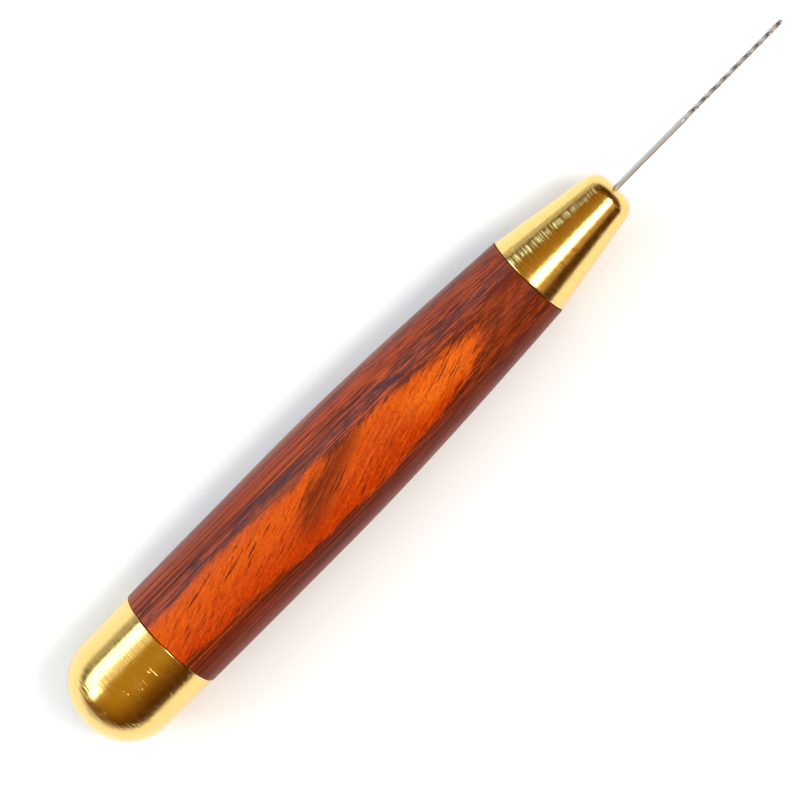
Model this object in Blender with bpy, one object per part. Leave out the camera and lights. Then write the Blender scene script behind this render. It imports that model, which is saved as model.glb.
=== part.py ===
"""A turned hand pricker: a fine twist bit in a brass collet nose, on a hardwood handle with a brass butt cap.

The tool lies on its side. +X runs along its axis towards the bit's tip, +Z is up, and the origin is under the
middle of its length, on the surface that it lies on. Stations are x values along the tool, in millimetres,
and point_at scales them to metres.
"""

import math

import bmesh
import bpy
from mathutils import Matrix, Vector

MM = 0.001

# Driving dimensions, in millimetres
CAP_LENGTH = 19.5
WOOD_LENGTH = 82.0
NOSE_LENGTH = 19.8
BIT_STAND_OUT = 37.2
OVERALL = CAP_LENGTH + WOOD_LENGTH + NOSE_LENGTH + BIT_STAND_OUT

BELLY_RADIUS = 9.7
BELLY_FROM_REAR = 32.0
WOOD_REAR_RADIUS = 9.6
WOOD_FRONT_RADIUS = 7.63
WOOD_FRONT_SLOPE = 0.062
WOOD_EDGE_BREAK = 0.12

CAP_SEAM_RADIUS = 9.55
CAP_DOME_RADIUS = 9.48
CAP_DOME_LENGTH = 9.1
CAP_DOME_FULLNESS = 2.15
BRASS_EDGE_BREAK = 0.2

NOSE_BASE_RADIUS = 7.53
NOSE_TAPER = 9.6
NOSE_CORNER_RADIUS = 2.6

BIT_LENGTH = 56.0
SHANK_RADIUS = 0.5
FLUTED_RADIUS = 0.45
FLUTE_LENGTH = 22.8
FLUTE_LEAD = 4.75
FLUTE_DEPTH_SHARE = 0.5
FLUTE_RUN_OUT = 1.6
POINT_ANGLE = 118.0

TUBE_OUTER_RADIUS = 5.0
TUBE_INNER_RADIUS = 4.55
GLUE_GAP = 0.05
SEAT_GAP = 0.05
GROOVE_DEPTH = 0.35
GROOVE_WIDTH = 1.2
GROOVE_PITCH = 4.0

BUSH_LENGTH = 14.0
STUD_RADIUS = 3.0
STUD_LENGTH = 20.0
STUD_IN_CAP = 9.0

THREAD_PITCH = 1.0
THREAD_RADIUS = 3.75
THREAD_HALF_DEPTH = 0.24
THREAD_CLEARANCE = 0.16
THREAD_START = 1.0
THREAD_TURNS = 7

FLANGE_RADIUS = 6.0
FLANGE_THICKNESS = 1.5
CHUCK_SHANK_LENGTH = 16.5
COLLET_BORE_RADIUS = 2.26
COLLET_BORE_DEPTH = 2.05
BIT_PASSAGE_RADIUS = 0.75

COLLET_FRONT = 15.8
COLLET_FRONT_RADIUS = 1.35
COLLET_HEAD_REAR = 10.4
COLLET_HEAD_RADIUS = 2.95
COLLET_TAIL_RADIUS = 2.2
COLLET_GRIP_RADIUS = 0.53
COLLET_SLOT_WIDTH = 0.35
COLLET_SLOT_LENGTH = 11.0
COLLET_CLEARANCE = 0.06

NOSE_HOLE_RADIUS = 0.66
NOSE_COUNTERSINK = 0.2

SEGMENTS = 40
THREAD_SEGMENTS = 32
BIT_SEGMENTS = 16
BIT_STEPS_PER_TURN = 14
WELD = 5e-7
SHARP_FROM = math.radians(35.0)

# Base colour, roughness and metallic value
BRASS = ((0.78, 0.57, 0.2), 0.25, 1.0)
TUBE_BRASS = ((0.72, 0.52, 0.2), 0.4, 1.0)
ROSEWOOD = ((0.3, 0.07, 0.02), 0.35, 0.0)
BRIGHT_STEEL = ((0.62, 0.6, 0.58), 0.25, 1.0)
SPRING_STEEL = ((0.5, 0.5, 0.5), 0.35, 1.0)

# Where a thread changes slope, as a share of its pitch, and its height there from root (0) to crest (1)
THREAD_FORM = ((0.125, 0.0), (0.40625, 1.0), (0.59375, 1.0), (0.875, 0.0))

# Stations along the axis, in millimetres
BUTT_END = -OVERALL / 2
WOOD_REAR = BUTT_END + CAP_LENGTH
WOOD_FRONT = WOOD_REAR + WOOD_LENGTH
NOSE_TIP = WOOD_FRONT + NOSE_LENGTH
BIT_TIP = NOSE_TIP + BIT_STAND_OUT
AXIS_HEIGHT = BELLY_RADIUS


def clear_scene():
    for obj in list(bpy.data.objects):
        bpy.data.objects.remove(obj, do_unlink=True)


def material(name, look):
    """A Principled material named after its piece."""
    colour, roughness, metallic = look
    made = bpy.data.materials.new(name)
    made.use_nodes = True
    shader = made.node_tree.nodes["Principled BSDF"]
    shader.inputs["Base Color"].default_value = (*colour, 1.0)
    shader.inputs["Roughness"].default_value = roughness
    shader.inputs["Metallic"].default_value = metallic
    return made


def arc(centre, radius, start, end, count):
    """Points (x, r) on an arc, with angles in degrees from +X towards +r."""
    angles = [math.radians(start + (end - start) * i / count) for i in range(count + 1)]
    return [(centre[0] + radius * math.cos(a), centre[1] + radius * math.sin(a)) for a in angles]


def dome(count):
    """The butt's outline from its pole to where its dome ends: a quarter of a squared-off ellipse."""
    power = 2.0 / CAP_DOME_FULLNESS
    points = [(BUTT_END, 0.0)]
    for i in range(1, count + 1):
        angle = math.pi / 2 * i / count
        back = CAP_DOME_LENGTH * (1.0 - max(0.0, math.cos(angle)) ** power)
        points.append((BUTT_END + back, CAP_DOME_RADIUS * math.sin(angle) ** power))
    return points


def grooved(x0, x1, radius):
    """A cylinder's outline from x0 forward to x1 with annular glue grooves in it."""
    points = [(x0, radius)]
    for i in range(int((x1 - x0 - GROOVE_WIDTH) // GROOVE_PITCH)):
        near = x0 + GROOVE_PITCH * (i + 0.6)
        far = near + GROOVE_WIDTH
        points += [(near, radius), (near, radius - GROOVE_DEPTH), (far, radius - GROOVE_DEPTH), (far, radius)]
    return points + [(x1, radius)]


def point_at(x, r, angle):
    """The point at station x and radius r, at an angle that turns right-handed about +X from +Z."""
    return Vector((x, -r * math.sin(angle), r * math.cos(angle))) * MM


def bridge(mesh, near, far):
    """Joins two rings, or a ring and a single vertex on the axis, with faces."""
    count = max(len(near), len(far))
    for i in range(count):
        j = (i + 1) % count
        if len(near) == 1:
            mesh.faces.new((near[0], far[j], far[i]))
        elif len(far) == 1:
            mesh.faces.new((near[i], near[j], far[0]))
        else:
            mesh.faces.new((near[i], near[j], far[j], far[i]))


def lathe(mesh, profile, segments):
    """Adds the surface that an outline of (x, r) points sweeps about the axis, and returns its rings."""
    rings = []
    for x, r in profile:
        count = segments if r > 0.0 else 1
        rings.append([mesh.verts.new(point_at(x, r, math.tau * i / count)) for i in range(count)])
    for near, far in zip(rings, rings[1:]):
        bridge(mesh, near, far)
    return rings


def turned(profile, segments=SEGMENTS):
    """A solid turned from an outline. One that doesn't start on the axis is closed into a tube."""
    mesh = bmesh.new()
    rings = lathe(mesh, profile, segments)
    if len(rings[0]) > 1:
        bridge(mesh, rings[-1], rings[0])
    return mesh


def add_thread(mesh, start, turns, radius, male):
    """Adds a right-hand thread from the station start, with its vertices along the helix.

    A male thread's ridges stand out of its root, and a female thread's ridges stand in. Both are cut off
    square at their ends and run out there over one pitch.
    """
    out = 1.0 if male else -1.0
    end = start + turns * THREAD_PITCH
    columns = []
    for i in range(THREAD_SEGMENTS + 1):
        column = []
        for turn in range(-1, turns):
            for share, level in THREAD_FORM:
                x = start + (i / THREAD_SEGMENTS + turn + share) * THREAD_PITCH
                run_out = min(1.0, (x - start) / THREAD_PITCH, (end - x) / THREAD_PITCH)
                height = max(0.0, run_out) * (level if male else 1.0 - level)
                reach = radius + out * THREAD_HALF_DEPTH * (2.0 * height - 1.0)
                column.append((min(max(x, start), end), reach))
        base = radius - out * THREAD_HALF_DEPTH
        angle = math.tau * i / THREAD_SEGMENTS
        column = [(start, base), *column, (end, base)]
        columns.append([mesh.verts.new(point_at(x, r, angle)) for x, r in column])
    for near, far in zip(columns, columns[1:]):
        for k in range(len(near) - 1):
            mesh.faces.new((near[k], far[k], far[k + 1], near[k + 1]))


def threaded(outline, start, turns, radius, male):
    """A solid turned from an outline that runs from the thread's end, all the way round, to its start."""
    mesh = bmesh.new()
    lathe(mesh, outline, THREAD_SEGMENTS)
    add_thread(mesh, start, turns, radius, male)
    return mesh


def finish(name, mesh, look):
    """Turns a bmesh into a named object on the tool's axis, shaded smooth with its sharp edges kept."""
    bmesh.ops.remove_doubles(mesh, verts=mesh.verts, dist=WELD)
    bmesh.ops.recalc_face_normals(mesh, faces=mesh.faces)
    data = bpy.data.meshes.new(name)
    mesh.to_mesh(data)
    mesh.free()
    data.materials.append(material(name, look))
    data.shade_smooth()
    data.set_sharp_from_angle(angle=SHARP_FROM)
    obj = bpy.data.objects.new(name, data)
    bpy.context.scene.collection.objects.link(obj)
    obj.parent = bpy.data.objects["tool_axis"]
    return obj


def wood_radius(x):
    """The handle's radius: it swells to the belly, then falls on a cubic that meets the nose at its slope."""
    run = x - WOOD_REAR - BELLY_FROM_REAR
    if run <= 0.0:
        return BELLY_RADIUS - (BELLY_RADIUS - WOOD_REAR_RADIUS) * (run / BELLY_FROM_REAR) ** 2
    length = WOOD_LENGTH - BELLY_FROM_REAR
    drop = BELLY_RADIUS - WOOD_FRONT_RADIUS
    share = run / length
    square = 3.0 * drop - WOOD_FRONT_SLOPE * length
    cube = WOOD_FRONT_SLOPE * length - 2.0 * drop
    return BELLY_RADIUS - square * share**2 - cube * share**3


def make_wood():
    rear, front = WOOD_REAR + SEAT_GAP, WOOD_FRONT - SEAT_GAP
    first, belly, last = rear + WOOD_EDGE_BREAK, WOOD_REAR + BELLY_FROM_REAR, front - WOOD_EDGE_BREAK
    stations = [first + (belly - first) * i / 4 for i in range(4)]
    stations += [belly + (last - belly) * i / 10 for i in range(11)]
    bore, recess = TUBE_OUTER_RADIUS + GLUE_GAP, FLANGE_RADIUS + GLUE_GAP
    recess_floor = front - FLANGE_THICKNESS - SEAT_GAP
    profile = [(rear, bore), (rear, wood_radius(rear) - WOOD_EDGE_BREAK)]
    profile += [(x, wood_radius(x)) for x in stations]
    profile += [(front, wood_radius(front) - WOOD_EDGE_BREAK)]
    profile += [(front, recess), (recess_floor, recess), (recess_floor, bore)]
    finish("wood_handle", turned(profile), ROSEWOOD)


def make_tube():
    rear = WOOD_REAR + 2 * SEAT_GAP
    front = WOOD_FRONT - FLANGE_THICKNESS - 3 * SEAT_GAP
    profile = [(rear, TUBE_INNER_RADIUS), (rear, TUBE_OUTER_RADIUS)]
    profile += [(front, TUBE_OUTER_RADIUS), (front, TUBE_INNER_RADIUS)]
    finish("liner_tube", turned(profile), TUBE_BRASS)


def make_cap():
    """The butt cap: a dome on a short cylinder that widens a little to its seam, bored for its stud."""
    face = WOOD_REAR - SEAT_GAP
    hole = STUD_RADIUS + GLUE_GAP
    hole_floor = face - STUD_IN_CAP - 1.0
    profile = dome(14)
    profile += [(face - BRASS_EDGE_BREAK, CAP_SEAM_RADIUS), (face, CAP_SEAM_RADIUS - BRASS_EDGE_BREAK)]
    profile += [(face, hole), (hole_floor, hole), (hole_floor - hole / math.sqrt(3.0), 0.0)]
    finish("butt_cap", turned(profile), BRASS)


def make_bush():
    """The plug in the tube's rear end, with glue grooves outside and the stud's hole through it."""
    rear = WOOD_REAR + 2 * SEAT_GAP
    front = rear + BUSH_LENGTH
    hole = STUD_RADIUS + GLUE_GAP
    profile = [(rear, hole), *grooved(rear, front, TUBE_INNER_RADIUS - GLUE_GAP), (front, hole)]
    finish("rear_bush", turned(profile), BRASS)


def make_stud():
    rear = WOOD_REAR - SEAT_GAP - STUD_IN_CAP
    front = rear + STUD_LENGTH
    break_by = 0.4
    profile = [(rear, 0.0), (rear, STUD_RADIUS - break_by), (rear + break_by, STUD_RADIUS)]
    profile += [(front - break_by, STUD_RADIUS), (front, STUD_RADIUS - break_by), (front, 0.0)]
    finish("cap_stud", turned(profile, segments=24), BRIGHT_STEEL)


def make_chuck_body():
    """The fixed half of the chuck: a threaded spigot, a flange let into the wood, and a shank in the tube."""
    male = THREAD_RADIUS - THREAD_CLEARANCE / 2
    root = male - THREAD_HALF_DEPTH
    shank = TUBE_INNER_RADIUS - GLUE_GAP
    flange_front = WOOD_FRONT - SEAT_GAP
    flange_rear = flange_front - FLANGE_THICKNESS
    rear = flange_rear - CHUCK_SHANK_LENGTH
    start = WOOD_FRONT + THREAD_START
    end = start + THREAD_TURNS * THREAD_PITCH
    nozzle = end + THREAD_PITCH / 2
    seat = WOOD_FRONT - COLLET_BORE_DEPTH
    outline = [(end, root), (nozzle, root), (nozzle, COLLET_BORE_RADIUS), (seat, COLLET_BORE_RADIUS)]
    outline += [(seat, BIT_PASSAGE_RADIUS), (rear, BIT_PASSAGE_RADIUS)]
    outline += grooved(rear, flange_rear, shank)
    outline += [(flange_rear, FLANGE_RADIUS), (flange_front, FLANGE_RADIUS)]
    outline += [(flange_front, root), (start, root)]
    finish("chuck_body", threaded(outline, start, THREAD_TURNS, male, male=True), BRASS)


def make_nose():
    """The closing nut: its inner cone presses the collet shut as it is screwed down to the handle."""
    base = WOOD_FRONT + SEAT_GAP
    female = THREAD_RADIUS + THREAD_CLEARANCE / 2
    relief = female + THREAD_HALF_DEPTH
    start = WOOD_FRONT + THREAD_START + THREAD_PITCH
    turns = THREAD_TURNS - 1
    end = start + turns * THREAD_PITCH
    taper_front = (WOOD_FRONT + COLLET_FRONT, COLLET_FRONT_RADIUS + COLLET_CLEARANCE)
    taper_rear = (WOOD_FRONT + COLLET_HEAD_REAR, COLLET_HEAD_RADIUS + COLLET_CLEARANCE)
    step = taper_front[0] + COLLET_CLEARANCE
    slope = math.tan(math.radians(NOSE_TAPER))
    tangent = NOSE_TIP - NOSE_CORNER_RADIUS * (1.0 - math.sin(math.radians(NOSE_TAPER)))
    tangent_radius = NOSE_BASE_RADIUS - (tangent - base) * slope
    corner_height = tangent_radius - NOSE_CORNER_RADIUS * math.cos(math.radians(NOSE_TAPER))
    corner = (NOSE_TIP - NOSE_CORNER_RADIUS, corner_height)
    outline = [(end, relief), (end + THREAD_PITCH / 2, relief), (end + THREAD_PITCH / 2, taper_rear[1])]
    outline += [taper_rear, taper_front, (step, taper_front[1]), (step, NOSE_HOLE_RADIUS)]
    outline += [(NOSE_TIP - NOSE_COUNTERSINK, NOSE_HOLE_RADIUS)]
    outline += [(NOSE_TIP, NOSE_HOLE_RADIUS + NOSE_COUNTERSINK)]
    outline += arc(corner, NOSE_CORNER_RADIUS, 0, 90 - NOSE_TAPER, 6)
    outline += [(base + BRASS_EDGE_BREAK, NOSE_BASE_RADIUS - BRASS_EDGE_BREAK * slope)]
    outline += [(base, NOSE_BASE_RADIUS - BRASS_EDGE_BREAK), (base, relief), (start, relief)]
    finish("nose_cone", threaded(outline, start, turns, female, male=False), BRASS)


def slot_cutter(name, angle):
    """A thin slab across the collet's head, which cuts two of its four slots."""
    size = Vector((2 * COLLET_SLOT_LENGTH, 3 * COLLET_HEAD_RADIUS, COLLET_SLOT_WIDTH)) * MM
    centre = Vector(((WOOD_FRONT + COLLET_FRONT) * MM, 0.0, 0.0))
    placed = Matrix.Translation(centre) @ Matrix.Rotation(angle, 4, "X") @ Matrix.Diagonal((*size, 1.0))
    mesh = bmesh.new()
    bmesh.ops.create_cube(mesh, size=1.0, matrix=placed)
    data = bpy.data.meshes.new(name)
    mesh.to_mesh(data)
    mesh.free()
    cutter = bpy.data.objects.new(name, data)
    bpy.context.scene.collection.objects.link(cutter)
    cutter.parent = bpy.data.objects["tool_axis"]
    cutter.hide_render = True
    cutter.display_type = "WIRE"
    return cutter


def make_collet():
    """A one-piece collet: a tapered head split into four jaws, on a tail that slides in the chuck body."""
    front, head_rear = WOOD_FRONT + COLLET_FRONT, WOOD_FRONT + COLLET_HEAD_REAR
    tail_end = WOOD_FRONT - COLLET_BORE_DEPTH + SEAT_GAP
    shoulder = head_rear - (COLLET_HEAD_RADIUS - COLLET_TAIL_RADIUS)
    profile = [(tail_end, COLLET_GRIP_RADIUS), (tail_end, COLLET_TAIL_RADIUS)]
    profile += [(shoulder, COLLET_TAIL_RADIUS), (head_rear, COLLET_HEAD_RADIUS)]
    profile += [(front, COLLET_FRONT_RADIUS), (front, COLLET_GRIP_RADIUS)]
    collet = finish("collet", turned(profile, segments=THREAD_SEGMENTS), SPRING_STEEL)
    for index, angle in enumerate((math.pi / 4, -math.pi / 4)):
        cut = collet.modifiers.new(f"slot_{index}", "BOOLEAN")
        cut.operation = "DIFFERENCE"
        cut.solver = "EXACT"
        cut.object = slot_cutter(f"collet_slot_cutter_{index}", angle)


def flute_radius(angle, x, start):
    """The bit's radius where it is fluted: two flutes on a right-hand helix that run out at the rear."""
    run_out = min(1.0, (x - start) / FLUTE_RUN_OUT)
    body = SHANK_RADIUS + (FLUTED_RADIUS - SHANK_RADIUS) * run_out
    turn = angle - math.tau * (x - start) / FLUTE_LEAD
    return body * (1.0 - FLUTE_DEPTH_SHARE * run_out * math.sin(turn) ** 4)


def make_bit():
    """The twist bit, ring by ring from the end of its shank to its point."""
    tail, start = BIT_TIP - BIT_LENGTH, BIT_TIP - FLUTE_LENGTH
    angles = [math.tau * i / BIT_SEGMENTS for i in range(BIT_SEGMENTS)]
    point_slope = 1.0 / math.tan(math.radians(POINT_ANGLE / 2))
    lip = BIT_TIP - FLUTED_RADIUS * point_slope
    steps = round((lip - start) / FLUTE_LEAD * BIT_STEPS_PER_TURN)
    mesh = bmesh.new()
    rings = [[mesh.verts.new(point_at(tail, 0.8 * SHANK_RADIUS, a)) for a in angles]]
    rings.append([mesh.verts.new(point_at(tail + 0.2 * SHANK_RADIUS, SHANK_RADIUS, a)) for a in angles])
    for i in range(steps):
        x = start + (lip - start) * i / steps
        rings.append([mesh.verts.new(point_at(x, flute_radius(a, x, start), a)) for a in angles])
    edge = [(a, flute_radius(a, lip, start)) for a in angles]
    rings.append([mesh.verts.new(point_at(BIT_TIP - r * point_slope, r, a)) for a, r in edge])
    rings.append([mesh.verts.new(point_at(BIT_TIP, 0.0, 0.0))])
    for near, far in zip(rings, rings[1:]):
        bridge(mesh, near, far)
    mesh.faces.new(rings[0])
    finish("twist_bit", mesh, BRIGHT_STEEL)


def main():
    clear_scene()
    axis = bpy.data.objects.new("tool_axis", None)
    axis.location = (0.0, 0.0, AXIS_HEIGHT * MM)
    bpy.context.scene.collection.objects.link(axis)
    make_wood()
    make_tube()
    make_cap()
    make_bush()
    make_stud()
    make_chuck_body()
    make_collet()
    make_nose()
    make_bit()


main()
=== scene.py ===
"""The hand pricker: turned surfaces, a cut thread and flutes, and procedural brass, rosewood and steel."""

import math

import bmesh
import bpy
from mathutils import Matrix, Vector


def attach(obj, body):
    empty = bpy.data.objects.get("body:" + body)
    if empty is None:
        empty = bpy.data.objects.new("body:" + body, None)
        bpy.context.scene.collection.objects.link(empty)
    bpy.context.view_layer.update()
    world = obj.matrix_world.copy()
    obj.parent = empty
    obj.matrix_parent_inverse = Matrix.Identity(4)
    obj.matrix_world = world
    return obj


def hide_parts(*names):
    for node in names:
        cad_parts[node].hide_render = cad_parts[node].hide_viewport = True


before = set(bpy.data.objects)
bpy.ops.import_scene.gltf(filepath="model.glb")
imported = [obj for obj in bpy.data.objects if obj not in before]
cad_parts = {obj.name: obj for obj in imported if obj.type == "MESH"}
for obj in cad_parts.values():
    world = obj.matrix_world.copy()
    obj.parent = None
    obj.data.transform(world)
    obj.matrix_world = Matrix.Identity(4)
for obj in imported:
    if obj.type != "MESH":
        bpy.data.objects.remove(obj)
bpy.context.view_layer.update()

MM = 0.001

# Sizes are in millimetres. These are stations along the tool's axis
BUTT_END = -79.25
WOOD_REAR = -59.75
WOOD_FRONT = 22.25
NOSE_TIP = 42.05
BIT_TIP = 79.25
SEAT_GAP = 0.05

WOOD_LENGTH = WOOD_FRONT - WOOD_REAR
BELLY_RADIUS = 9.7
BELLY_FROM_REAR = 32.0
WOOD_REAR_RADIUS = 9.6
WOOD_FRONT_RADIUS = 7.63
WOOD_FRONT_SLOPE = 0.062
WOOD_BORE_RADIUS = 5.05
WOOD_EDGE = 0.12
FLANGE_POCKET_RADIUS = 6.05
FLANGE_POCKET_DEPTH = 1.55

# The tool lies on its belly
AXIS_HEIGHT = BELLY_RADIUS

BRASS_EDGE = 0.22
CAP_SEAM_RADIUS = 9.55
CAP_DOME_RADIUS = 9.48
CAP_DOME_LENGTH = 9.1
CAP_DOME_FULLNESS = 2.15
STUD_HOLE_RADIUS = 3.05
STUD_HOLE_DEPTH = 10.0
STUD_HOLE_POINT = 1.76

NOSE_BASE_RADIUS = 7.53
NOSE_TAPER = math.radians(9.6)
NOSE_CORNER = 2.6
NOSE_HOLE_RADIUS = 0.66
NOSE_HOLE_CHAMFER = 0.2
NOSE_BORE_RADIUS = 3.01
NOSE_BORE_END = WOOD_FRONT + 15.86
COLLET_SEAT_START = WOOD_FRONT + 10.4
COLLET_SEAT_END = WOOD_FRONT + 15.8
COLLET_SEAT_END_RADIUS = 1.41

CHUCK_LENGTH = 18.0
CHUCK_SHANK_RADIUS = 4.5
CHUCK_BORE_RADIUS = 0.75
FLANGE_RADIUS = 6.0
FLANGE_THICKNESS = 1.5
GUIDE_BORE_RADIUS = 2.26
GUIDE_BORE_DEPTH = 2.05

THREAD_PITCH = 1.0
THREAD_TURNS = 7
THREAD_START = WOOD_FRONT + 1.0
THREAD_END = THREAD_START + THREAD_TURNS * THREAD_PITCH
THREAD_RELIEF = 0.5
THREAD_HALF_DEPTH = 0.24
MALE_RADIUS = 3.67
FEMALE_RADIUS = 3.83

# One pitch of the thread: (share of the pitch, height from root to crest)
THREAD_FORM = ((0.125, 0.0), (0.40625, 1.0), (0.59375, 1.0), (0.875, 0.0))

BIT_LENGTH = 56.0
SHANK_RADIUS = 0.5
FLUTED_RADIUS = 0.46
FLUTE_LENGTH = 22.8
FLUTE_LEAD = 4.75
FLUTE_RUN_OUT = 3.2
POINT_ANGLE = math.radians(118.0)
TAIL_CHAMFER = 0.1

# The bit's section, as shares of half a turn and of its outside radius
MARGIN_END = 0.08
LAND_END = 0.52
LAND_RADIUS = 0.95
FLUTE_DEPTH = 0.5
FLUTE_ROUNDNESS = 0.8

TURNED_SEGMENTS = 160
THREAD_SEGMENTS = 96


# ---- Geometry ----


def point_at(x, r, angle):
    return Vector((x, -r * math.sin(angle), r * math.cos(angle) + AXIS_HEIGHT)) * MM


def rounded(points, radius, steps=4):
    """An outline of (x, r) points with its middle corners rounded off."""
    out = [points[0]]
    for before, corner, after in zip(points, points[1:], points[2:]):
        a, b, c = Vector(before), Vector(corner), Vector(after)
        reach = min(radius, (a - b).length * 0.45, (c - b).length * 0.45)
        start, end = b + (a - b).normalized() * reach, b + (c - b).normalized() * reach
        for i in range(steps + 1):
            t = i / steps
            out.append(tuple((1 - t) ** 2 * start + 2 * t * (1 - t) * b + t * t * end))
    return out + [points[-1]]


def between(low, high, steps):
    """Evenly spaced values from low to high, without either end."""
    return [low + (high - low) * i / steps for i in range(1, steps)]


def lathe(mesh, outline, segments):
    """Turns an outline of (x, r) points round the tool's axis."""
    rings = []
    for x, r in outline:
        count = segments if r > 1e-6 else 1
        rings.append([mesh.verts.new(point_at(x, r, math.tau * i / count)) for i in range(count)])
    for near, far in zip(rings, rings[1:]):
        bridge(mesh, near, far)
    return rings


def bridge(mesh, near, far):
    """Faces between two rings, either of which may be a single point."""
    count = max(len(near), len(far))
    for i in range(count):
        j = (i + 1) % count
        if len(near) == 1:
            mesh.faces.new((near[0], far[j], far[i]))
        elif len(far) == 1:
            mesh.faces.new((near[i], near[j], far[0]))
        else:
            mesh.faces.new((near[i], near[j], far[j], far[i]))


def add_thread(mesh, start, turns, radius, male):
    """A right-hand thread whose vertices follow its helix and whose ridges run out at both ends."""
    out = 1.0 if male else -1.0
    end = start + turns * THREAD_PITCH
    base = radius - out * THREAD_HALF_DEPTH
    columns = []
    for i in range(THREAD_SEGMENTS + 1):
        column = [(start, base)]
        for turn in range(-1, turns):
            for share, level in THREAD_FORM:
                x = start + (i / THREAD_SEGMENTS + turn + share) * THREAD_PITCH
                run_out = max(0.0, min(1.0, (x - start) / THREAD_PITCH, (end - x) / THREAD_PITCH))
                height = run_out * (level if male else 1.0 - level)
                r = radius + out * THREAD_HALF_DEPTH * (2 * height - 1)
                column.append((min(max(x, start), end), r))
        column.append((end, base))
        angle = math.tau * i / THREAD_SEGMENTS
        columns.append([mesh.verts.new(point_at(x, r, angle)) for x, r in column])
    for near, far in zip(columns, columns[1:]):
        for k in range(len(near) - 1):
            mesh.faces.new((near[k], far[k], far[k + 1], near[k + 1]))


def piece(name, mesh, look, body, *nodes, sharp=30):
    """Makes a shown piece that rides on a body and stands for its CAD nodes."""
    bmesh.ops.remove_doubles(mesh, verts=mesh.verts, dist=2e-7)
    bmesh.ops.recalc_face_normals(mesh, faces=mesh.faces)
    data = bpy.data.meshes.new(name)
    mesh.to_mesh(data)
    mesh.free()
    data.materials.append(look)
    data.shade_smooth()
    data.set_sharp_from_angle(angle=math.radians(sharp))
    made = bpy.data.objects.new(name, data)
    bpy.context.scene.collection.objects.link(made)
    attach(made, body)
    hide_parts(*nodes)
    return made


def turned(outline):
    """A turned solid. An outline that starts off the axis is closed as a ring."""
    mesh = bmesh.new()
    rings = lathe(mesh, outline, TURNED_SEGMENTS)
    if len(rings[0]) > 1:
        bridge(mesh, rings[-1], rings[0])
    return mesh


def wood_radius(x):
    """A parabola from the rear to the belly, then a cubic that falls to the front."""
    run = x - WOOD_REAR - BELLY_FROM_REAR
    if run <= 0.0:
        return BELLY_RADIUS - (BELLY_RADIUS - WOOD_REAR_RADIUS) * (run / BELLY_FROM_REAR) ** 2
    length = WOOD_LENGTH - BELLY_FROM_REAR
    drop = BELLY_RADIUS - WOOD_FRONT_RADIUS
    share = run / length
    square = 3.0 * drop - WOOD_FRONT_SLOPE * length
    cube = WOOD_FRONT_SLOPE * length - 2.0 * drop
    return BELLY_RADIUS - square * share**2 - cube * share**3


def build_wood(look):
    rear, front = WOOD_REAR + SEAT_GAP, WOOD_FRONT - SEAT_GAP
    first, last = rear + 1.0, front - 1.0
    pocket = front - FLANGE_POCKET_DEPTH
    rear_edge = [(rear, 6.0), (rear, wood_radius(rear)), (first, wood_radius(first))]
    front_edge = [(last, wood_radius(last)), (front, wood_radius(front)), (front, 7.0)]
    outline = [(rear, WOOD_BORE_RADIUS)]
    outline += rounded(rear_edge, WOOD_EDGE)
    outline += [(x, wood_radius(x)) for x in between(first, last, 90)]
    outline += rounded(front_edge, WOOD_EDGE)
    outline += [(front, FLANGE_POCKET_RADIUS), (pocket, FLANGE_POCKET_RADIUS), (pocket, WOOD_BORE_RADIUS)]
    return piece("handle_wood", turned(outline), look, "handle", "wood_handle")


def build_cap(look):
    face = WOOD_REAR - SEAT_GAP
    power = 2.0 / CAP_DOME_FULLNESS
    dome = [(BUTT_END, 0.0)]
    for i in range(1, 65):
        a = math.pi / 2 * i / 64
        back = CAP_DOME_LENGTH * (1.0 - max(0.0, math.cos(a)) ** power)
        dome.append((BUTT_END + back, CAP_DOME_RADIUS * math.sin(a) ** power))
    start = dome[-1][0]
    growth = (CAP_SEAM_RADIUS - CAP_DOME_RADIUS) / (face - start)
    wall = [(x, CAP_DOME_RADIUS + growth * (x - start)) for x in between(start, face, 24)]
    edge = rounded([wall[-1], (face, CAP_SEAM_RADIUS), (face, 7.0)], BRASS_EDGE)[1:]
    hole_floor = face - STUD_HOLE_DEPTH
    hole = [(face, STUD_HOLE_RADIUS), (hole_floor, STUD_HOLE_RADIUS), (hole_floor - STUD_HOLE_POINT, 0.0)]
    return piece("cap_brass", turned(dome + wall + edge + hole), look, "handle", "butt_cap")


def build_chuck_body(look):
    root = MALE_RADIUS - THREAD_HALF_DEPTH
    front = THREAD_END + THREAD_RELIEF
    guide = WOOD_FRONT - GUIDE_BORE_DEPTH
    flange = WOOD_FRONT - SEAT_GAP
    flange_back = flange - FLANGE_THICKNESS
    rear = flange - CHUCK_LENGTH
    outline = [(THREAD_END, root), (front, root), (front, GUIDE_BORE_RADIUS), (guide, GUIDE_BORE_RADIUS)]
    outline += [(guide, CHUCK_BORE_RADIUS), (rear, CHUCK_BORE_RADIUS), (rear, CHUCK_SHANK_RADIUS)]
    outline += [(flange_back, CHUCK_SHANK_RADIUS), (flange_back, FLANGE_RADIUS), (flange, FLANGE_RADIUS)]
    outline += [(flange, root), (THREAD_START, root)]
    mesh = bmesh.new()
    lathe(mesh, outline, THREAD_SEGMENTS)
    add_thread(mesh, THREAD_START, THREAD_TURNS, MALE_RADIUS, True)
    return piece("chuck_brass", mesh, look, "handle", "chuck_body")


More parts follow.
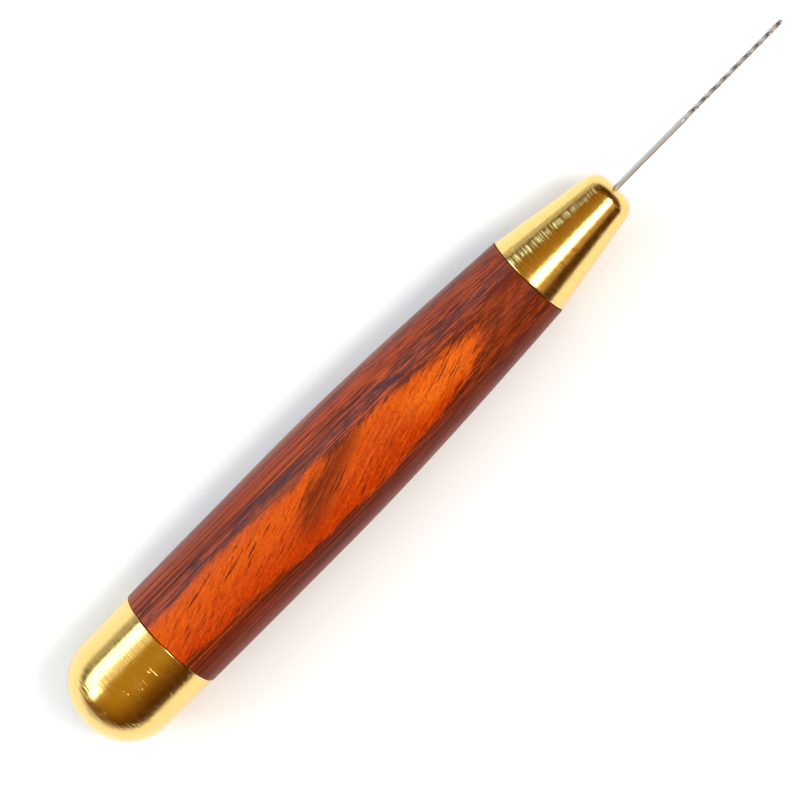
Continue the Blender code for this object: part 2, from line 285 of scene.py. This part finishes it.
def build_nose(look):
    base = WOOD_FRONT + SEAT_GAP
    relief = FEMALE_RADIUS + THREAD_HALF_DEPTH
    start = THREAD_START + THREAD_PITCH
    bore = THREAD_END + THREAD_RELIEF
    slope = math.tan(NOSE_TAPER)
    tangent = NOSE_TIP - NOSE_CORNER * (1.0 - math.sin(NOSE_TAPER))
    tangent_radius = NOSE_BASE_RADIUS - (tangent - base) * slope
    centre = (NOSE_TIP - NOSE_CORNER, tangent_radius - NOSE_CORNER * math.cos(NOSE_TAPER))
    outline = [(THREAD_END, relief), (bore, relief), (bore, NOSE_BORE_RADIUS)]
    outline += [(COLLET_SEAT_START, NOSE_BORE_RADIUS), (COLLET_SEAT_END, COLLET_SEAT_END_RADIUS)]
    outline += [(NOSE_BORE_END, COLLET_SEAT_END_RADIUS), (NOSE_BORE_END, NOSE_HOLE_RADIUS)]
    outline += [(NOSE_TIP - NOSE_HOLE_CHAMFER, NOSE_HOLE_RADIUS)]
    outline += [(NOSE_TIP, NOSE_HOLE_RADIUS + NOSE_HOLE_CHAMFER)]
    for i in range(25):
        a = (math.pi / 2 - NOSE_TAPER) * i / 24
        outline.append((centre[0] + NOSE_CORNER * math.cos(a), centre[1] + NOSE_CORNER * math.sin(a)))
    outline += [(x, NOSE_BASE_RADIUS - (x - base) * slope) for x in between(tangent, base, 24)]
    outline += rounded([outline[-1], (base, NOSE_BASE_RADIUS), (base, 6.0)], BRASS_EDGE)[1:]
    outline += [(base, relief), (start, relief)]
    mesh = bmesh.new()
    lathe(mesh, outline, THREAD_SEGMENTS)
    add_thread(mesh, start, THREAD_TURNS - 1, FEMALE_RADIUS, False)
    return piece("nose_brass", mesh, look, "nose", "nose_cone")


def flute_share(turn):
    """The bit's radius as a share of its outside: two lands with a margin each, and two rounded flutes."""
    half = (turn / math.pi) % 1.0
    if half < MARGIN_END:
        return 1.0
    if half < LAND_END:
        return LAND_RADIUS
    depth = math.sin(math.pi * (half - LAND_END) / (1.0 - LAND_END))
    return LAND_RADIUS - FLUTE_DEPTH * depth**FLUTE_ROUNDNESS


def build_bit(look):
    tail, start = BIT_TIP - BIT_LENGTH, BIT_TIP - FLUTE_LENGTH
    point_slope = 1.0 / math.tan(POINT_ANGLE / 2.0)
    lip = BIT_TIP - FLUTED_RADIUS * point_slope
    count = 60
    angles = [math.tau * i / count for i in range(count)]
    mesh = bmesh.new()

    def ring(x_at, r_at):
        """A ring of vertices whose radius depends on the angle, and whose x depends on the radius."""
        return [mesh.verts.new(point_at(x_at(r_at(a)), r_at(a), a)) for a in angles]

    def radius(angle, x):
        run = min(1.0, (x - start) / FLUTE_RUN_OUT)
        run = run * run * (3.0 - 2.0 * run)
        body = SHANK_RADIUS + (FLUTED_RADIUS - SHANK_RADIUS) * run
        share = flute_share(angle - math.tau * (x - start) / FLUTE_LEAD)
        return body * (1.0 - (1.0 - share) * run)

    rings = [ring(lambda r: tail, lambda a: SHANK_RADIUS - TAIL_CHAMFER)]
    for x in (tail + TAIL_CHAMFER, tail + 2 * TAIL_CHAMFER, start - 0.1):
        rings.append(ring(lambda r, x=x: x, lambda a: SHANK_RADIUS))
    steps = round((lip - start) / FLUTE_LEAD * count)
    for i in range(steps):
        x = start + (lip - start) * i / steps
        rings.append(ring(lambda r, x=x: x, lambda a, x=x: radius(a, x)))
    rings.append(ring(lambda r: BIT_TIP - r * point_slope, lambda a: radius(a, lip)))
    rings.append([mesh.verts.new(point_at(BIT_TIP, 0.0, 0.0))])
    for near, far in zip(rings, rings[1:]):
        bridge(mesh, near, far)
    mesh.faces.new(rings[0])
    return piece("bit_fluted", mesh, look, "bit", "twist_bit", sharp=40)


# ---- Materials ----


def fill_ramp(ramp, stops):
    """Gives a colour ramp node its (position, colour) stops."""
    elements = ramp.color_ramp.elements
    while len(elements) < len(stops):
        elements.new(0.5)
    for element, (position, colour) in zip(elements, stops):
        element.position = position
        element.color = (*colour, 1.0)


class Look:
    """A material's node tree, with a short way to add each kind of node."""

    def __init__(self, name):
        self.material = bpy.data.materials.new(name)
        self.material.use_nodes = True
        self.tree = self.material.node_tree
        self.shader = self.tree.nodes["Principled BSDF"]

    def feed(self, socket, value):
        if isinstance(value, bpy.types.NodeSocket):
            self.tree.links.new(value, socket)
        elif value is not None:
            socket.default_value = value

    def node(self, kind, inputs=(), **settings):
        made = self.tree.nodes.new(kind)
        for key, value in settings.items():
            setattr(made, key, value)
        for socket, value in zip(made.inputs, inputs):
            self.feed(socket, value)
        return made

    def math(self, operation, *values):
        return self.node("ShaderNodeMath", values, operation=operation).outputs[0]

    def times(self, a, b):
        return self.math("MULTIPLY", a, b)

    def plus(self, a, b):
        return self.math("ADD", a, b)

    def minus(self, a, b):
        return self.math("SUBTRACT", a, b)

    def absolute(self, value):
        return self.math("ABSOLUTE", value)

    def smooth(self, value, low, high):
        """0 at low and 1 at high, eased at both ends. Low may be the greater."""
        inputs = (value, low, high, 0.0, 1.0)
        return self.node("ShaderNodeMapRange", inputs, interpolation_type="SMOOTHSTEP").outputs[0]

    def remap(self, value, low, high, out_low, out_high):
        return self.node("ShaderNodeMapRange", (value, low, high, out_low, out_high)).outputs[0]

    def vector(self, x, y, z):
        return self.node("ShaderNodeCombineXYZ", (x, y, z)).outputs[0]

    def length(self, x, y, z):
        made = self.node("ShaderNodeVectorMath", (self.vector(x, y, z),), operation="LENGTH")
        return made.outputs["Value"]

    def noise(self, x, y, z, detail, roughness=0.5):
        made = self.node("ShaderNodeTexNoise")
        inputs = {"Vector": self.vector(x, y, z), "Scale": 1.0, "Detail": detail, "Roughness": roughness}
        for name, value in inputs.items():
            self.feed(made.inputs[name], value)
        return made.outputs[0]

    def mix(self, factor, a, b):
        made = self.node("ShaderNodeMix", data_type="RGBA")
        for index, value in ((0, factor), (6, a), (7, b)):
            self.feed(made.inputs[index], (*value, 1.0) if isinstance(value, tuple) else value)
        return made.outputs[2]

    def ramp(self, share, stops):
        made = self.node("ShaderNodeValToRGB", (share,))
        fill_ramp(made, stops)
        return made.outputs[0]

    def curve(self, share, points):
        """A line through (share, height) points, read at a share from 0 to 1."""
        heights = [height for _, height in points]
        low, high = min(heights), max(heights)
        stops = []
        for position, height in points:
            level = (height - low) / (high - low)
            stops.append((position, (level, level, level)))
        return self.remap(self.ramp(share, stops), 0.0, 1.0, low, high)

    def position(self):
        """(x, y, z) in millimetres, with y and z from the tool's axis."""
        coordinates = self.node("ShaderNodeTexCoord").outputs["Object"]
        split = self.node("ShaderNodeSeparateXYZ", (coordinates,))
        x, y, z = (self.times(split.outputs[i], 1.0 / MM) for i in range(3))
        return x, y, self.minus(z, AXIS_HEIGHT)

    def finish(
        self, colour, roughness, metallic=0.0, bump=None, strength=1.0, distance=0.00005, **constants
    ):
        """Feeds the shader. The bump's distance is in metres. Constants are other inputs."""
        self.feed(self.shader.inputs["Base Color"], (*colour, 1.0) if isinstance(colour, tuple) else colour)
        self.feed(self.shader.inputs["Roughness"], roughness)
        self.shader.inputs["Metallic"].default_value = metallic
        for name, value in constants.items():
            self.shader.inputs[name.replace("_", " ")].default_value = value
        if bump is not None:
            made = self.node("ShaderNodeBump")
            made.inputs["Strength"].default_value = strength
            made.inputs["Distance"].default_value = distance
            self.feed(made.inputs["Height"], bump)
            self.feed(self.shader.inputs["Normal"], made.outputs[0])
        return self.material


# The orange layer's lower face, from the wood's rear (0) to its front (1): its slope across
# the tool, and its height over the axis in millimetres
LAYER_SLOPE = (
    (0.0, 0.04),
    (0.18, 0.05),
    (0.3, 0.15),
    (0.47, 0.21),
    (0.69, 0.22),
    (0.86, 0.17),
    (1.0, 0.06),
)
LAYER_HEIGHT = (
    (0.0, 8.52),
    (0.3, 8.46),
    (0.47, 8.33),
    (0.69, 8.27),
    (0.79, 8.28),
    (0.87, 8.33),
    (1.0, 8.25),
)

# The darker layers: millimetres from that face, and colour
LAYERS = (
    (-18.0, (0.32, 0.045, 0.005)),
    (-16.6, (0.26, 0.035, 0.005)),
    (-16.1, (0.1, 0.014, 0.005)),
    (-14.5, (0.2, 0.03, 0.006)),
    (-11.5, (0.11, 0.016, 0.005)),
    (-9.0, (0.24, 0.035, 0.006)),
    (-6.5, (0.13, 0.018, 0.005)),
    (-4.4, (0.36, 0.042, 0.006)),
    (-2.9, (0.3, 0.038, 0.005)),
    (-2.1, (0.12, 0.016, 0.005)),
    (-1.6, (0.2, 0.028, 0.005)),
    (-1.1, (0.1, 0.013, 0.006)),
    (-0.62, (0.14, 0.02, 0.005)),
    (-0.42, (0.27, 0.04, 0.008)),
    (-0.3, (0.13, 0.018, 0.004)),
)
GRAIN_SLANT = math.radians(17)
SMUDGE_MIDDLE = WOOD_REAR + 38.0


def wood_look():
    """Rosewood sawn along its layers: an orange one across the top, and darker ones down the sides."""
    n = Look("rosewood")
    x, y, z = n.position()
    times, plus, minus = n.times, n.plus, n.minus

    def grain(u, v, w, detail=2.0, roughness=0.6):
        """Noise stretched along the tool: u, v and w are its lumps per millimetre along x, y and z."""
        return n.noise(times(x, u), times(y, v), times(z, w), detail, roughness)

    # Pores and grain slant across the orange layer, rising towards the tip
    u = plus(times(x, math.cos(GRAIN_SLANT)), times(y, math.sin(GRAIN_SLANT)))
    v = minus(times(y, math.cos(GRAIN_SLANT)), times(x, math.sin(GRAIN_SLANT)))
    slant = n.noise(times(u, 0.14), times(v, 2.2), times(z, 0.6), 4.0, 0.7)
    dash = n.noise(times(u, 0.22), times(v, 4.6), times(z, 1.2), 1.0, 0.4)
    cluster = grain(0.09, 0.3, 0.3)
    pits = grain(1.1, 3.0, 2.0)
    mottle = n.noise(times(u, 1.3), times(v, 3.4), z, 3.0, 0.65)
    fine = grain(0.024, 3.4, 3.4, 4.0, 0.7)
    lines = grain(0.035, 5.0, 5.0)
    patch = grain(0.14, 0.7, 0.7)

    # How far a point lies above the orange layer's lower face, in millimetres
    share = n.remap(x, WOOD_REAR, WOOD_FRONT, 0.0, 1.0)
    slope = n.curve(share, LAYER_SLOPE)
    height = n.curve(share, LAYER_HEIGHT)
    level = minus(minus(z, times(y, slope)), height)
    for noise, reach in ((slant, 0.9), (cluster, 0.7), (pits, 0.5), (patch, 0.7)):
        level = plus(level, times(minus(noise, 0.5), reach))

    # The darker layers, streaked, and darker still low on the near side
    depth = -LAYERS[0][0]
    stops = [((fall + depth) / depth, colour) for fall, colour in LAYERS]
    layers = n.ramp(n.remap(level, -depth, 0.0, 0.0, 1.0), stops)
    dark = n.mix(n.smooth(fine, 0.49, 0.6), layers, (0.46, 0.07, 0.01))
    dark = n.mix(n.smooth(fine, 0.46, 0.36), dark, (0.06, 0.008, 0.003))
    dark = n.mix(times(n.smooth(y, -4.0, -7.5), 0.6), dark, (0.1, 0.01, 0.002))
    dark = n.mix(times(n.smooth(lines, 0.54, 0.62), 0.8), dark, (0.045, 0.006, 0.003))

    # A purplish streak just below the orange layer on the far side, a calmer wood near the nose, and a
    # faint painted grey-blue sheen on the far side
    bruise = times(n.smooth(patch, 0.5, 0.62), n.smooth(n.absolute(plus(level, 0.9)), 1.1, 0.3))
    bruise = times(bruise, n.smooth(y, 1.5, 3.5))
    dark = n.mix(times(bruise, 0.75), dark, (0.035, 0.011, 0.018))
    dark = n.mix(times(n.smooth(x, -10.0, 15.0), 0.3), dark, (0.08, 0.012, 0.003))
    # Painted sheen: a faint grey-blue reflection mixed into the far side's colour
    dark = n.mix(times(n.smooth(y, 0.0, 4.0), 0.06), dark, (0.15, 0.17, 0.21))
    quiet = times(n.smooth(level, -1.1, -0.7), n.smooth(x, 6.0, 13.0))
    dark = n.mix(times(quiet, 0.65), dark, layers)

    # The orange layer, yellower along its middle, and smudged where a darker patch crosses it
    along_smudge = minus(x, SMUDGE_MIDDLE)
    off_smudge = minus(minus(y, 0.4), times(along_smudge, 0.36))
    ragged = times(minus(slant, 0.5), 8.0)
    off_smudge = n.absolute(plus(off_smudge, ragged))
    smudge = times(n.smooth(off_smudge, 3.4, 0.6), n.smooth(n.absolute(along_smudge), 13.0, 5.0))
    calm = n.remap(x, -32.0, -14.0, 0.45, 1.0)
    hot = n.smooth(plus(plus(y, times(cluster, 5.0)), times(slant, 3.0)), -1.0, 6.0)
    orange = n.mix(hot, (0.45, 0.034, 0.001), (0.54, 0.074, 0.002))
    glow_along = n.smooth(n.absolute(minus(x, 2.0)), 11.0, 3.0)
    glow_across = n.smooth(n.absolute(plus(y, 1.6)), 3.2, 0.8)
    orange = n.mix(times(glow_along, glow_across), orange, (0.66, 0.115, 0.002))
    orange = n.mix(times(n.smooth(slant, 0.52, 0.36), times(calm, 0.8)), orange, (0.3, 0.032, 0.002))
    orange = n.mix(times(n.smooth(slant, 0.52, 0.66), times(calm, 0.6)), orange, (0.64, 0.1, 0.002))
    orange = n.mix(times(n.smooth(y, 1.5, 4.2), 0.4), orange, (0.33, 0.055, 0.02))
    orange = n.mix(times(n.smooth(mottle, 0.5, 0.66), 0.5), orange, (0.27, 0.02, 0.001))
    orange = n.mix(times(n.smooth(mottle, 0.48, 0.36), 0.3), orange, (0.66, 0.11, 0.002))
    smudge_colour = n.mix(n.smooth(slant, 0.42, 0.6), (0.08, 0.01, 0.003), (0.22, 0.03, 0.003))
    orange = n.mix(times(smudge, 0.85), orange, smudge_colour)
    colour = n.mix(n.smooth(level, -0.1, 0.35), dark, orange)

    # Dark pores in the orange layer, and smaller spots along its lower face
    pores = n.smooth(plus(dash, times(minus(cluster, 0.5), 0.3)), 0.64, 0.71)
    spots = times(n.smooth(pits, 0.6, 0.72), n.smooth(level, 1.2, 0.2))
    marks = n.math("MAXIMUM", times(pores, 0.85), times(spots, 0.6))
    marks = times(marks, n.smooth(level, -1.0, 0.2))
    colour = n.mix(marks, colour, (0.07, 0.01, 0.003))

    rough = n.remap(fine, 0.3, 0.7, 0.28, 0.38)
    bump = minus(times(fine, 0.3), marks)
    return n.finish(colour, rough, bump=bump, strength=0.3, distance=0.00004, Specular_IOR_Level=0.08)


def brass_look(name, seed):
    """Brass polished on the lathe: faint rings round the axis, broken into short scratches."""
    n = Look(name)
    x, y, z = n.position()
    angle = n.math("ARCTAN2", y, z)

    def rings(pitch, arc, offset, detail=3.0):
        """Noise in rings: pitch lumps per millimetre along the axis, and arc lumps per radian round it."""
        return n.noise(n.times(x, pitch), n.times(angle, arc), seed + offset, detail, 0.65)

    ring = rings(2.4, 0.5, 0.0, 5.0)
    scratch = rings(3.6, 0.8, 4.0, 2.0)
    deep = n.smooth(rings(1.8, 3.5, 12.0, 2.0), 0.6, 0.74)
    bump = n.minus(n.plus(n.times(ring, 0.5), scratch), n.times(deep, 0.5))
    colour = n.mix(scratch, (0.84, 0.55, 0.15), (0.95, 0.68, 0.27))
    rough = n.remap(rings(1.6, 3.0, 8.0), 0.3, 0.7, 0.13, 0.26)
    return n.finish(colour, rough, metallic=1.0, bump=bump)


def steel_look(name, colour, roughness, flute_shade=None):
    """Ground steel. The bit's also has a painted shade colour, which darkens what lies deep in its flutes.
    """
    n = Look(name)
    x, y, z = n.position()
    grain = n.noise(n.times(x, 1.5), n.times(y, 9.0), n.times(z, 9.0), 3.0)
    face = n.mix(grain, tuple(c * 0.9 for c in colour), colour)
    if flute_shade is not None:
        # Painted shade: the steel darkens towards the bottom of the bit's flutes
        face = n.mix(n.smooth(n.length(0.0, y, z), 0.44, 0.34), face, flute_shade)
    return n.finish(face, roughness, metallic=1.0)


def floor_look():
    n = Look("white_floor")
    return n.finish((0.86, 0.86, 0.86), 0.9, Specular_IOR_Level=0.0)


def backdrop_look():
    """White light that fades in away from the middle of the floor."""
    n = Look("white_backdrop")
    x, y, _ = n.position()
    n.feed(n.shader.inputs["Alpha"], n.smooth(n.length(x, y, 0.0), 200.0, 420.0))
    return n.finish((0.0, 0.0, 0.0), 1.0, Emission_Color=(1.0, 1.0, 1.0, 1.0), Emission_Strength=1.0)


# ---- Build ----

wood = build_wood(wood_look())
cap = build_cap(brass_look("cap_brass_look", 1.0))
nose = build_nose(brass_look("nose_brass_look", 7.0))
chuck = build_chuck_body(brass_look("chuck_brass_look", 3.0))
# The bit's last colour is painted shade for the bottom of its flutes
bit = build_bit(steel_look("bit_steel_flute_shade_look", (0.6, 0.6, 0.65), 0.38, (0.36, 0.34, 0.34)))
inner_looks = {
    "liner_tube": brass_look("tube_brass_look", 5.0),
    "rear_bush": brass_look("bush_brass_look", 6.0),
    "cap_stud": steel_look("stud_steel_look", (0.6, 0.6, 0.6), 0.3),
    "collet": steel_look("collet_steel_look", (0.5, 0.5, 0.5), 0.35),
}
for node, look in inner_looks.items():
    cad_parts[node].data.materials.clear()
    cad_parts[node].data.materials.append(look)

# ---- Setting, in metres ----

SHEET_HEIGHT = 0.0004
WALL_RADIUS = 2.8
WALL_HEIGHT = 3.0

bpy.ops.mesh.primitive_plane_add(size=6.0, location=(0.0, 0.0, 0.0))
floor = bpy.context.object
floor.name = "floor"
floor.data.materials.append(floor_look())


def build_backdrop():
    """A sheet over the far floor and a wall round it, which only the camera sees."""
    outline = [(radius, SHEET_HEIGHT) for radius in (0.15, 0.5, WALL_RADIUS)]
    outline.append((WALL_RADIUS, WALL_HEIGHT))
    sides = 96
    bm = bmesh.new()
    rings = []
    for radius, height in outline:
        corners = (2.0 * math.pi * i / sides for i in range(sides))
        rings.append([bm.verts.new((radius * math.cos(a), radius * math.sin(a), height)) for a in corners])
    for lower, upper in zip(rings, rings[1:]):
        bridge(bm, lower, upper)
    mesh = bpy.data.meshes.new("backdrop")
    bm.to_mesh(mesh)
    bm.free()
    mesh.materials.append(backdrop_look())
    backdrop = bpy.data.objects.new("backdrop", mesh)
    bpy.context.scene.collection.objects.link(backdrop)
    for ray in ("diffuse", "glossy", "transmission", "volume_scatter", "shadow"):
        setattr(backdrop, "visible_" + ray, False)


build_backdrop()


def placed(right, up, back, place):
    """The matrix of a lamp or camera at a place, which looks away from back."""
    return Matrix.Translation(place) @ Matrix((right, up, back)).transposed().to_4x4()


def softbox(name, direction, distance, size, power, colour):
    """A rectangular lamp that faces the middle of the floor from a direction."""
    lamp = bpy.data.lights.new(name, "AREA")
    lamp.shape = "RECTANGLE"
    lamp.size, lamp.size_y = size
    lamp.energy = power
    lamp.color = colour
    made = bpy.data.objects.new(name, lamp)
    bpy.context.scene.collection.objects.link(made)
    back = Vector(direction).normalized()
    right = Vector((1.0, 0.0, 0.0))
    right = (right - back * right.dot(back)).normalized()
    made.matrix_world = placed(right, back.cross(right), back, back * distance)
    return made


softbox("overhead", (0.4, -0.32, 0.86), 0.8, (0.38, 0.24), 3.9, (1.0, 0.93, 0.84))
softbox("window", (-0.36, 0.78, 0.555), 0.9, (0.8, 0.34), 4.0, (0.56, 0.83, 1.0))
softbox("skylight", (-0.46, 0.5, 0.76), 0.95, (0.66, 0.3), 0.46, (0.92, 1.0, 0.95))
softbox("side", (0.15, 0.97, 0.16), 0.9, (1.0, 0.22), 0.39, (0.92, 1.0, 0.88))
softbox("glow", (0.38, -0.64, 0.66), 0.9, (0.36, 0.34), 0.2, (1.0, 0.72, 0.36))
softbox("lamp", (-0.72, 0.43, 0.54), 0.9, (0.18, 0.18), 1.1, (1.0, 1.0, 1.0))
fill = softbox("fill", (0.0, 0.0, 1.0), 1.4, (2.6, 2.6), 28.0, (0.68, 0.82, 1.0))
fill.visible_glossy = False


def room():
    """A dim brown room, brighter overhead and towards the butt, and darkest on the near side."""
    world = bpy.data.worlds.new("room")
    bpy.context.scene.world = world
    world.use_nodes = True
    tree = world.node_tree
    background = tree.nodes["Background"]
    coordinates = tree.nodes.new("ShaderNodeTexCoord")
    facing = tree.nodes.new("ShaderNodeVectorMath")
    facing.operation = "DOT_PRODUCT"
    facing.inputs[1].default_value = Vector((-0.3, 0.1, 0.92)).normalized()
    tree.links.new(coordinates.outputs["Generated"], facing.inputs[0])
    ramp = tree.nodes.new("ShaderNodeValToRGB")
    fill_ramp(ramp, ((0.3, (0.08, 0.026, 0.0)), (0.62, (0.2, 0.085, 0.002)), (0.95, (0.45, 0.26, 0.02))))
    tree.links.new(facing.outputs["Value"], ramp.inputs[0])
    tree.links.new(ramp.outputs[0], background.inputs["Color"])


room()

# ---- Camera ----

# The camera leans towards the nose, and is rolled so that the tool lies across the picture's diagonal
CAMERA_LEAN = math.radians(7.7)
CAMERA_ROLL = math.radians(45.33)
CAMERA_DISTANCE = 0.856
CAMERA_TARGET = Vector((-6.25, 0.69, AXIS_HEIGHT)) * MM

back = Vector((math.sin(CAMERA_LEAN), 0.0, math.cos(CAMERA_LEAN)))
along = Vector((math.cos(CAMERA_LEAN), 0.0, -math.sin(CAMERA_LEAN)))
across = Vector((0.0, 1.0, 0.0))
right = along * math.cos(CAMERA_ROLL) - across * math.sin(CAMERA_ROLL)
up = along * math.sin(CAMERA_ROLL) + across * math.cos(CAMERA_ROLL)
lens = bpy.data.cameras.new("camera")
lens.sensor_width = 36.0
lens.lens = 241.83
lens.clip_start = 0.01
lens.dof.use_dof = False
camera = bpy.data.objects.new("camera", lens)
bpy.context.scene.collection.objects.link(camera)
camera.matrix_world = placed(right, up, back, CAMERA_TARGET + back * CAMERA_DISTANCE)
bpy.context.scene.camera = camera
bpy.context.scene.view_settings.view_transform = "Standard"
